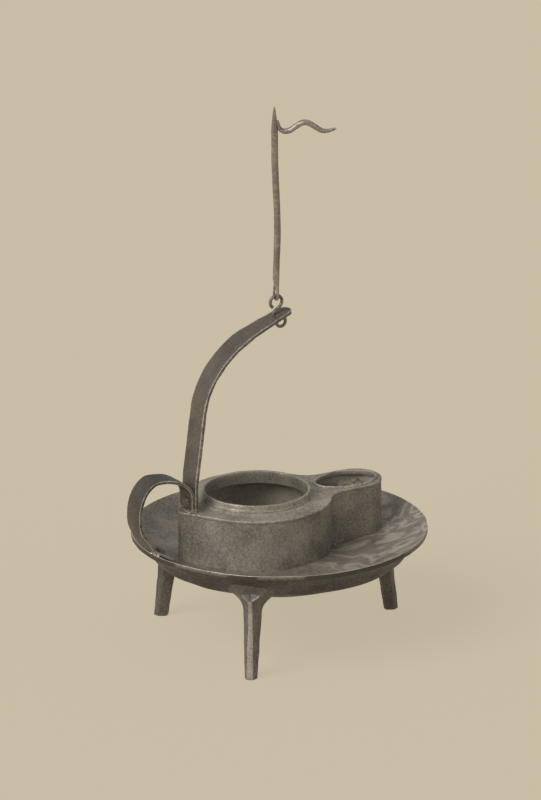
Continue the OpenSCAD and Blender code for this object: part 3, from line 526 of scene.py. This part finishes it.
# Font wall: an upright band of sheet iron bent to a pear shape, with a rounded point at the back
# and a round spout end. It is brazed to the tray and to the deck.
font_x = -7.55
body_r, nose_x, nose_r, nose_angle = 34.2, -35.6, 4.5, 33.46
waist_x, waist_y, waist_r, waist_angle = 40.42, 25.7, 13.7, 32.46
spout_x, spout_r = 51.4, 12
floor_z, wall_top, wall_t = 44.4, 67.2, 1.4
arc_step, lifts = 4, 9
seam_start, seam_end = 17, 44


def arc(x, y, radius, start, end):
    """Points of an arc between two angles in degrees, without its first point."""
    count = math.ceil(abs(end - start) / arc_step)
    angles = [math.radians(start + (end - start) * i / count) for i in range(1, count + 1)]
    return [(x + radius * math.cos(a), y + radius * math.sin(a)) for a in angles]


def pear(out):
    """The font's outline round the filler's centre, moved outwards by out."""
    return (
        arc(0, 0, body_r + out, waist_angle, 180 - nose_angle)
        + arc(nose_x, 0, nose_r + out, 180 - nose_angle, 180 + nose_angle)
        + arc(0, 0, body_r + out, 180 + nose_angle, 360 - waist_angle)
        + arc(waist_x, -waist_y, waist_r - out, 180 - waist_angle, 90)
        + arc(spout_x, 0, spout_r + out, -90, 90)
        + arc(waist_x, waist_y, waist_r - out, 270, 180 + waist_angle)
    )


def pear_loop(bm, out, z):
    """The outline as a closed loop of edges at the height z."""
    verts = [bm.verts.new((x + font_x, y, z)) for x, y in pear(out)]
    return [bm.edges.new(pair) for pair in zip(verts, verts[1:] + verts[:1])]


# Hammered sheet iron: mid grey-brown, dull and stippled by the hammer, and painted pale on its inner side as
# painted light inside the shaded font.
wall_iron = iron("hammered_sheet_iron", "#7f776c", "#b0a698", relief_mm=0.2)
bm = bmesh.new()
loop = pear_loop(bm, 0, floor_z)
for _ in range(lifts):
    made = bmesh.ops.extrude_edge_only(bm, edges=loop)["geom"]
    loop = [part for part in made if isinstance(part, bmesh.types.BMEdge)]
    bmesh.ops.translate(
        bm, verts=[part for part in made if isinstance(part, bmesh.types.BMVert)],
        vec=(0, 0, (wall_top - floor_z) / lifts),
    )
bmesh.ops.recalc_face_normals(bm, faces=bm.faces)
hammered(bm, 0.3, 4, 41)
bmesh.ops.solidify(bm, geom=bm.faces[:], thickness=wall_t)
wear_and_shade(bm, shine=0.3)
# Painted light: the wall's inner side is set fully pale.
wear_and_light = bm.verts.layers.float["wear_and_light"]
for vert in bm.verts:
    if vert.normal.dot(Vector((vert.co.x - font_x, vert.co.y, 0))) < 0:
        vert[wear_and_light] = 1
seam = [
    (x + font_x, y, floor_z + 0.3) for x, y in pear(0.5)
    if y < 0 and seam_start < x + font_x < seam_end
]
lumps(bm, seam, 0.6, 11)
dressed(bm, "wall", wall_iron, "lamp", ["font_wall"])

# Font deck: the plate of sheet iron that closes the font on top. It is dished up a little to the
# filler's collar, has a rolled lip round the wick's mouth, and its edge stands a hair over the wall.
deck_z, deck_t, deck_out = 68.6, 1.4, 0.25
filler_r, dome_r, dome_w, dome_h = 24.9, 25.7, 3, 1
mouth_x, mouth_a, mouth_b, mouth_end_r = 46.4, 14.6, 9.9, 6.6
lip_w, lip_h = 1.2, 0.6
lip_line = [
    (-0.1, -1.5), (-0.1, lip_h * 0.6), (0.35, lip_h), (0.8, lip_h),
    (lip_w, lip_h * 0.4), (lip_w, -0.3), (0.5, -1.5),
]
rim_from, cut_below, cut_depth, edge_below = 28, 4, 8, 0.7
arm_drops = [(-45.1, y, deck_z + 0.2) for y in (-6.2, -5.4, -4.4, -3.4, -2.2, -1, 0.4, 1.8, 3.2, 4.4)]


def oval(a, b, r):
    """Oval of four arcs with half length a, half width b and end radius r."""
    k = ((a - r) ** 2 - (b - r) ** 2) / (2 * (b - r))
    ends = math.degrees(math.atan2(k, a - r))
    return (
        arc(a - r, 0, r, -ends, ends) + arc(0, -k, b + k, ends, 180 - ends)
        + arc(r - a, 0, r, 180 - ends, 180 + ends) + arc(0, k, b + k, 180 + ends, 360 - ends)
    )


def cut_out(piece, cutter):
    """Cuts one mesh out of another, and leaves the result as the piece's own mesh."""
    blade = bpy.data.meshes.new("blade")
    cutter.to_mesh(blade)
    blade_object = bpy.data.objects.new("blade", blade)
    body_mesh = bpy.data.meshes.new("blank")
    piece.to_mesh(body_mesh)
    body_object = bpy.data.objects.new("blank", body_mesh)
    for item in (blade_object, body_object):
        bpy.context.scene.collection.objects.link(item)
    bite = body_object.modifiers.new("bite", "BOOLEAN")
    bite.object = blade_object
    bite.operation = "DIFFERENCE"
    bite.solver = "EXACT"
    bpy.context.view_layer.update()
    result = bpy.data.meshes.new_from_object(body_object.evaluated_get(bpy.context.evaluated_depsgraph_get()))
    piece.clear()
    piece.from_mesh(result)
    cutter.free()
    for item in (blade_object, body_object):
        bpy.data.objects.remove(item)
    for mesh in (blade, body_mesh, result):
        bpy.data.meshes.remove(mesh)


def deck_painted_shade(vert):
    """Painted shade under the deck, and a little less of it on the lower part of its edges."""
    if vert.normal.z < -0.5:
        return 0.4
    return 0.3 if vert.co.z < deck_z - edge_below else 0


# Planished sheet iron: the same sheet as the wall, painted lighter as painted light on the font's top, and
# smoother.
deck_iron = iron("sheet_iron_painted_lighter", "#958c7e", "#bfb5a3", rough=0.5)
bm = bmesh.new()
outer = pear_loop(bm, deck_out, deck_z)
for radius, cuts in ((dome_r + dome_w, 9), (filler_r, 8)):
    verts = []
    for x, y in pear(deck_out):
        reach = math.hypot(x, y)
        verts.append(bm.verts.new((x / reach * radius + font_x, y / reach * radius, deck_z)))
    inner = [bm.edges.new(pair) for pair in zip(verts, verts[1:] + verts[:1])]
    spokes = bmesh.ops.bridge_loops(bm, edges=outer + inner)["edges"]
    bmesh.ops.subdivide_edges(bm, edges=spokes, cuts=cuts, use_grid_fill=True)
    outer = inner
bmesh.ops.recalc_face_normals(bm, faces=bm.faces)
if sum(face.normal.z for face in bm.faces) < 0:
    bmesh.ops.reverse_faces(bm, faces=bm.faces)
for vert in bm.verts:
    reach = math.hypot(vert.co.x - font_x, vert.co.y)
    rise = min(1, max(0, (dome_r + dome_w - reach) / dome_w))
    vert.co.z += dome_h * rise * rise * (3 - 2 * rise)
hammered(bm, 0.18, 9, 51)
bmesh.ops.solidify(bm, geom=bm.faces[:], thickness=deck_t)
rims = [
    edge for edge in bm.edges
    if edge.calc_face_angle(0) > 1 and min(math.hypot(v.co.x - font_x, v.co.y) for v in edge.verts) > rim_from
]
bmesh.ops.bevel(
    bm, geom=rims, offset=0.3, affect="EDGES", segments=2, profile=0.5, material=-1, clamp_overlap=True,
)
cutter = bmesh.new()
verts = [
    cutter.verts.new((x + mouth_x + font_x, y, deck_z - cut_below))
    for x, y in oval(mouth_a, mouth_b, mouth_end_r)
]
made = bmesh.ops.extrude_face_region(cutter, geom=[cutter.faces.new(verts)])["geom"]
raised = [part for part in made if isinstance(part, bmesh.types.BMVert)]
bmesh.ops.translate(cutter, verts=raised, vec=(0, 0, cut_depth))
bmesh.ops.recalc_face_normals(cutter, faces=cutter.faces)
cut_out(bm, cutter)
lip = bmesh.new()
loops = []
for out, up in lip_line:
    verts = [
        lip.verts.new((x + mouth_x + font_x, y, deck_z + up))
        for x, y in oval(mouth_a + out, mouth_b + out, mouth_end_r + out)
    ]
    loops.append([lip.edges.new(pair) for pair in zip(verts, verts[1:] + verts[:1])])
for lower, upper in zip(loops, loops[1:] + loops[:1]):
    bmesh.ops.bridge_loops(lip, edges=lower + upper)
bmesh.ops.recalc_face_normals(lip, faces=lip.faces)
hammered(lip, 0.2, 3, 57)
join(bm, lip)
wear_and_shade(bm, deck_painted_shade, shine=0.7)
lumps(bm, arm_drops, 0.55, 17)
dressed(bm, "deck", deck_iron, "lamp", ["font_deck"])

# Filler collar: a short upright ring round the filling hole, of the deck's own sheet iron.
# It is brazed into the deck, and a small bead on its outside rests on the dome.
collar_line = [
    (23.5, 66.8, 0.2), (24.8, 66.8, 0.2), (24.8, 69.6, 0), (25.6, 69.6, 0.2), (25.6, 69.9, 0.25),
    (24.8, 70.3, 0.45), (24.8, 72.6, 0.45), (23.5, 72.6, 0.45), (23.5, 66.8, 0.2),
]
shaded_r, shaded_top = 23.8, 71.6


def collar_painted_shade(vert):
    """A little painted shade on the inner side, up to just below the top."""
    return 0.3 if math.hypot(vert.co.x - font_x, vert.co.y) < shaded_r and vert.co.z < shaded_top else 0


bm = turned(collar_line, font_x)
hammered(bm, 0.15, 6, 61)
wear_and_shade(bm, collar_painted_shade, shine=0.5)
dressed(bm, "collar", deck_iron, "lamp", ["filler_collar"])

# Arm: a flat iron strip forged to a gentle bow. Its tenon goes through a slot in the deck and is
# clenched under it, and its rounded end has a hole for the link.
arm_t, arm_w, arm_tenon_w, arm_hole_r = 1.7, 12.7, 7, 1.5
taper_len, tip_at, tip_half = 20, 3.9, 4.6
arm_hole = Vector((2.5101, 0, 153.025))
arm_tilt = 21.2
arm_foot, tenon_end = (-41.9, 68.6), (-36.05, 66.25)
tenon_runs = [(5, 0, 0), (0, 0.86, -90), (1.4, 0, 0)]
arm_runs = [
    (9, 0, 0), (0, 59, -8), (28.9, 0, 0), (0, 39.4, -31.5), (0, 50.4, -29.3),
    (11.3, 0, 0), (2.6, 0, 0), (0, 19.1, -18),
]


def walk(runs, x, z, heading, step):
    """Stations (x, z, heading), about a step apart, along a path in the X-Z plane.

    A straight run is given as (length, 0, 0) and a bend as (0, radius, angle).
    """
    stations = [(x, z, heading)]
    for length, radius, angle in runs:
        parts = max(1, round((length + radius * math.radians(abs(angle))) / step))
        for _ in range(parts):
            if radius:
                k = math.copysign(radius, angle)
                h = heading + angle / parts
                x += k * (math.sin(math.radians(h)) - math.sin(math.radians(heading)))
                z += k * (math.cos(math.radians(heading)) - math.cos(math.radians(h)))
                heading = h
            else:
                x += length / parts * math.cos(math.radians(heading))
                z += length / parts * math.sin(math.radians(heading))
            stations.append((x, z, heading))
    return stations


def stand_at(x, z, heading):
    """The place of a section on a path in the X-Z plane: its own Z goes along the path and its X across."""
    h = math.radians(heading)
    sine, cosine = math.sin(h), math.cos(h)
    return Matrix(((-sine, 0, cosine, x), (0, -1, 0, 0), (cosine, 0, sine, z), (0, 0, 0, 1)))


def flat_section(thick, width, corner, splits):
    """The corners of a flat bar's rounded section, with its long sides split."""
    bm = bmesh.new()
    a, b = thick / 2, width / 2
    bm.faces.new([bm.verts.new(point) for point in ((-a, -b, 0), (a, -b, 0), (a, b, 0), (-a, b, 0))])
    bmesh.ops.bevel(
        bm, geom=bm.verts[:], offset=corner, affect="VERTICES", segments=2, profile=0.5, material=-1,
    )
    long = [edge for edge in bm.edges if edge.calc_length() > width / 2]
    bmesh.ops.bisect_edges(bm, edges=long, cuts=splits, edge_percents={})
    bm.faces.ensure_lookup_table()
    points = [vert.co.copy() for vert in bm.faces[0].verts]
    bm.free()
    return points


# Forged strip iron: dark grey-brown and fairly even, with a faint gloss, and bright along its edges.
strip_iron = iron("forged_strip_iron", "#5e564d", "#b4aa9a", rough=0.5, spread=0.35)
section = flat_section(arm_t, arm_w, 0.4, 5)
tenon = walk(tenon_runs, *tenon_end, 180, 0.7)
path = walk(arm_runs, *arm_foot, 90, 0.8)
rings = [[stand_at(*s) @ Vector((p.x, p.y * arm_tenon_w / arm_w, 0)) for p in section] for s in tenon]
ahead = Vector((math.cos(math.radians(arm_tilt)), 0, math.sin(math.radians(arm_tilt))))
for s in path:
    past = (Vector((s[0], 0, s[1])) - arm_hole).dot(ahead)
    half = arm_w / 2 - (arm_w / 2 - tip_half) * max(0, past + taper_len) / (taper_len + tip_at)
    if past > tip_at:
        half = math.sqrt(max(0.3, tip_half ** 2 - (past - tip_at) ** 2))
    rings.append([stand_at(*s) @ Vector((p.x, p.y * 2 * half / arm_w, 0)) for p in section])
bm = draw_out(rings)
hammered(bm, 0.22, 6, 71)
cutter = bmesh.new()
bmesh.ops.create_cone(
    cutter, cap_ends=True, segments=32, radius1=arm_hole_r, radius2=arm_hole_r, depth=6,
    matrix=Matrix.Translation(arm_hole) @ Matrix.Rotation(math.radians(-arm_tilt), 4, "Y"),
)
cut_out(bm, cutter)
wear_and_shade(bm)
dressed(bm, "bow_arm", strip_iron, "lamp", ["arm"])

# Handle: an iron strap bent to a loop. Its foot is riveted to the side of the tray, and its other end
# lies flat against the back of the arm under a second rivet.
strap_t, strap_w = 1.5, 12
foot_end, foot_heading, foot_top = (-54.26, 48.16), 151.67, 53.5
foot_runs = [(9, 0, 0), (0, 4, -33.67)]
loop_high, lap_x, bulge = 86.05, -43.6, 0.55


def sweep(a, b, c, d, count=16):
    """Stations along a curve from a to d with the handles b and c."""
    stations = []
    for i in range(1, count + 1):
        t, q = i / count, 1 - i / count
        p = a * q ** 3 + b * 3 * q * q * t + c * 3 * q * t * t + d * t ** 3
        v = (b - a) * q * q + (c - b) * 2 * q * t + (d - c) * t * t
        stations.append((p.x, p.y, math.degrees(math.atan2(v.y, v.x))))
    return stations


path = walk(foot_runs, *foot_end, foot_heading, 1.2)
landing = Vector(path[-1][:2])
heading = math.radians(path[-1][2])
leaving = Vector((math.cos(heading), math.sin(heading)))
loop_back = Vector((-71, (loop_high + landing.y) / 2))
loop_top = Vector((-60.3, loop_high))
lap_top = Vector((lap_x, 75.6))
rise = (loop_back.y - landing.y) * bulge
path += sweep(landing, landing + leaving * rise, loop_back - Vector((0, rise)), loop_back)
path += sweep(
    loop_back, loop_back + Vector((0, (loop_top.y - loop_back.y) * bulge)),
    loop_top - Vector(((loop_top.x - loop_back.x) * bulge, 0)), loop_top,
)
path += sweep(
    loop_top, loop_top + Vector(((lap_top.x - loop_top.x) * bulge, 0)),
    lap_top + Vector((0, (loop_top.y - lap_top.y) * bulge)), lap_top,
)
path += [(lap_x, z, -90) for z in (73.4, 71, 68.9)]
# The same strip iron as the arm, darker from hands and smoke, and bright on its edges; its foot is painted
# pale as painted light.
strap_iron = iron("handled_strap_iron", "#504942", "#b0a696", rough=0.5, spread=0.35)
section = flat_section(strap_t, strap_w, 0.4, 5)
bm = draw_out([[stand_at(*s) @ p for p in section] for s in path])
hammered(bm, 0.2, 5, 81)
wear_and_shade(bm)
# Painted light: the foot, where it lies on the tray, is set pale.
wear_and_light = bm.verts.layers.float["wear_and_light"]
for vert in bm.verts:
    if vert.co.z < foot_top:
        vert[wear_and_light] = 0.8
dressed(bm, "strap_handle", strap_iron, "lamp", ["handle"])

# Rivets: soft iron pins with low heads set by hand. One goes through the arm and the handle's end,
# and the other through the tray and the handle's foot.
pin_r, head_r, head_h, butt_h = 1.4, 2.9, 1.2, 0.55
# Soft rivet iron: a plain grey-brown in small blotches, a little brighter on its edges.
rivet_iron = iron("rivet_iron", "#6b635a", "#8d8376", rough=0.5, blotch_mm=4)
grips = {
    "arm_rivet": (3.3, Matrix.Translation((-41.05, 0, 72.1)) @ Matrix.Rotation(math.radians(-90), 4, "Y")),
    "handle_rivet": (
        2.9, Matrix.Translation((-59.04, 0, 50.03)) @ Matrix.Rotation(math.radians(28.33), 4, "Y")
        @ Matrix.Translation((0, 0, -1.27)),
    ),
}
for seed, (node, (grip, put)) in enumerate(grips.items()):
    bm = turned([
        (0, -butt_h, 0), (2.7, -butt_h, 0.3), (head_r, 0, 0), (pin_r, 0, 0), (pin_r, grip, 0),
        (head_r, grip, 0.1), (2.3, grip + 0.8, 0.5), (0, grip + head_h, 0),
    ], 0, steps=28)
    hammered(bm, 0.25, 2.2, 91 + seed)
    wear_and_shade(bm)
    bmesh.ops.transform(bm, verts=bm.verts, matrix=put)
    dressed(bm, "set_" + node, rivet_iron, "lamp", [node])

# Link: an open S bent from iron wire. One end hooks through the hole in the arm,
# and the other is bent to the eye that carries the hanger.
wire_r = 0.75
upper_runs = [(1.225, 0, 0), (0, 1.6, -75), (3.3, 0, 0), (0, 3, 287)]
lower_runs = [(3.6, 0, 0), (0, 2.3, 180), (2.15, 0, 0)]
# Drawn iron wire: an even grey-brown with a soft sheen.
wire_iron = iron("hanger_wire_iron", "#6d655c", "#a89e92", rough=0.38, spread=0.2)


def round_ring(put, radius, sides=16):
    """Ring of points of a round bar at a place on its path."""
    angles = [math.tau * i / sides for i in range(sides)]
    return [put @ Vector((radius * math.cos(a), radius * math.sin(a), 0)) for a in angles]


upper = walk(upper_runs, arm_hole.x, arm_hole.z, arm_tilt + 90, 0.5)
lower = walk(lower_runs, arm_hole.x, arm_hole.z, arm_tilt - 90, 0.5)
path = [(x, z, heading + 180) for x, z, heading in reversed(lower[1:])] + upper
bm = draw_out([round_ring(stand_at(*s), wire_r) for s in path])
hammered(bm, 0.08, 2.5, 101)
wear_and_shade(bm)
dressed(bm, "s_link", wire_iron, "link", ["link"])

# Hanger rod: a round iron rod, drawn down at its foot and folded to an eye on the link, and pointed
# at the top so that it can be driven into a beam. It is bowed a little from use.
pivot = Vector((3.505, 0, 163.407))
eye_r, rod_strand_r, rod_r, hanger_len, spike_len = 1.75, 0.65, 1.55, 90.6, 14
neck_z, neck_len, tail_len, tail_y, tail_r = 0.4, 8.5, 9, 0.95, 0.4
rod_bow, bow_at, spike_curve, spike_tip_r = 0.9, 34, 1.7, 0.3
fold_steps, eye_step, rod_steps = 12, 15, 90
hook_turn = math.radians(-29)


def ease(t):
    """Goes smoothly from 0 to 1 as t goes from 0 to 1."""
    return (1 - math.cos(math.pi * min(1, max(0, t)))) / 2


# Drawn rod iron: smoother than the link and the hook, and painted lighter than them as a painted highlight
# along the rod.
rod_iron = iron("drawn_rod_iron", "#7d746a", "#b4aa9e", rough=0.33, spread=0.2)
folds = [1 - i / fold_steps for i in range(fold_steps)]
stations = [Vector((0, eye_r + (tail_y - eye_r) * ease(t), neck_z + (tail_len - neck_z) * t)) for t in folds]
radii = [rod_strand_r + (tail_r - rod_strand_r) * t for t in folds]
for a in range(0, 180, eye_step):
    stations.append(Vector((0, eye_r * math.cos(math.radians(a)), -eye_r * math.sin(math.radians(a)))))
    radii.append(rod_strand_r)
heights = [0, neck_z] + [neck_z + (hanger_len - neck_z) * i / rod_steps for i in range(1, rod_steps + 1)]
for z in heights:
    neck = ease((z - neck_z) / neck_len)
    bow = rod_bow * ease(1 - abs(z / bow_at - 1))
    point = max(0, (z - hanger_len + spike_len) / spike_len)
    full_r = rod_strand_r + (rod_r - rod_strand_r) * neck
    radii.append(full_r * (1 - point ** spike_curve) + spike_tip_r * point)
    stations.append(Vector((bow * math.cos(hook_turn), bow * math.sin(hook_turn) - eye_r * (1 - neck), z)))
rings = []
for i, (centre, radius) in enumerate(zip(stations, radii)):
    along = (stations[min(i + 1, len(stations) - 1)] - stations[max(i - 1, 0)]).normalized()
    side = Vector((1, 0, 0))
    other = along.cross(side).normalized()
    put = Matrix((other.cross(along), other, along)).transposed().to_4x4()
    rings.append(round_ring(Matrix.Translation(pivot + centre) @ put, radius))
bm = draw_out(rings)
hammered(bm, 0.12, 9, 111)
wear_and_shade(bm)
dressed(bm, "spike_rod", rod_iron, "hanger", ["hanger_rod"])

# Hook: a strand of iron forge-welded to the side of the spike, bent out and waved to a fine tip.
# The lamp can hang by it where the spike can't be driven in.
weld_at, hook_fall = (1.204, 83.853), 75.5
dip_x, dip_z, hook_reach, hook_wave = 4.859, 78.7, 28, 18
first_wave, last_wave, wave_steps = 2.1, 1, 36
weld_r, hook_r, hook_tip_r = 0.6, 1.35, 0.4
path = walk([(3, 0, 0), (0, 3, hook_fall)], *weld_at, -hook_fall, 0.5)
root = len(path)
for i in range(1, wave_steps + 1):
    x = (hook_reach - dip_x) * i / wave_steps
    a = math.tau * x / hook_wave
    amp = last_wave if a > math.tau else first_wave
    path.append((
        dip_x + x, dip_z + amp * (1 - math.cos(a)),
        math.degrees(math.atan2(math.tau * amp * math.sin(a), hook_wave)),
    ))
rings = []
for i, s in enumerate(path):
    if i < root:
        radius = weld_r + (hook_r - weld_r) * i / root
    else:
        radius = hook_r - (hook_r - hook_tip_r) * ((i - root) / (len(path) - 1 - root)) ** 4
    rings.append(round_ring(stand_at(*s), radius, 14))
bm = draw_out(rings)
hammered(bm, 0.14, 3, 121)
wear_and_shade(bm)
bmesh.ops.rotate(bm, verts=bm.verts, matrix=Matrix.Rotation(hook_turn, 3, "Z"))
bmesh.ops.translate(bm, verts=bm.verts, vec=pivot)
dressed(bm, "wave_hook", wire_iron, "hanger", ["hanger_hook"])

# Floor and light: a plain matte board of warm cream under a soft neutral sky, and two wide soft lamps,
# the stronger one high in front on the left. To the lens the board shows mostly a glow of its own,
# so that its tone stays even.
glow_share = 0.85
board = bpy.data.materials.new("cream_board")
board.use_nodes = True
tree = board.node_tree
shader = tree.nodes["Principled BSDF"]
cream = linear("#cabea6")
shader.inputs["Base Color"].default_value = cream
shader.inputs["Roughness"].default_value = 0.95
shader.inputs["Specular IOR Level"].default_value = 0.1
glow = add(tree, "Emission", {}, {"Color": cream, "Strength": 1})
ray = add(tree, "LightPath", {}, {})
seen = add(tree, "Math", {"operation": "ADD"}, {
    0: ray.outputs["Is Camera Ray"], 1: ray.outputs["Is Glossy Ray"],
})
through = add(tree, "Math", {"operation": "ADD"}, {0: seen.outputs[0], 1: ray.outputs["Is Transmission Ray"]})
share = add(tree, "Math", {"operation": "MULTIPLY", "use_clamp": True}, {
    0: through.outputs[0], 1: glow_share,
})
mixed = add(tree, "MixShader", {}, {0: share.outputs[0], 1: shader.outputs[0], 2: glow.outputs[0]})
tree.links.new(mixed.outputs[0], tree.nodes["Material Output"].inputs["Surface"])
bm = bmesh.new()
bmesh.ops.create_circle(bm, cap_ends=True, segments=96, radius=6)
mesh = bpy.data.meshes.new("floor")
bm.to_mesh(mesh)
bm.free()
mesh.materials.append(board)
floor = bpy.data.objects.new("floor", mesh)
bpy.context.scene.collection.objects.link(floor)
sky = bpy.data.worlds.new("pale_sky")
sky.use_nodes = True
sky.node_tree.nodes["Background"].inputs["Color"].default_value = linear("#eaecee")
sky.node_tree.nodes["Background"].inputs["Strength"].default_value = 0.4
bpy.context.scene.world = sky
suns = {"key": (3, 40, Vector((-0.98, -0.22, 0.8))), "fill": (0.45, 60, Vector((0.45, -1, 0.25)))}
for name, (power, spread, spot) in suns.items():
    light = bpy.data.lights.new(name, "SUN")
    light.energy = power
    light.angle = math.radians(spread)
    lamp = bpy.data.objects.new(name, light)
    lamp.matrix_world = Matrix.Translation(spot) @ spot.to_track_quat("Z", "Y").to_matrix().to_4x4()
    bpy.context.scene.collection.objects.link(lamp)
bpy.context.scene.view_settings.view_transform = "Standard"
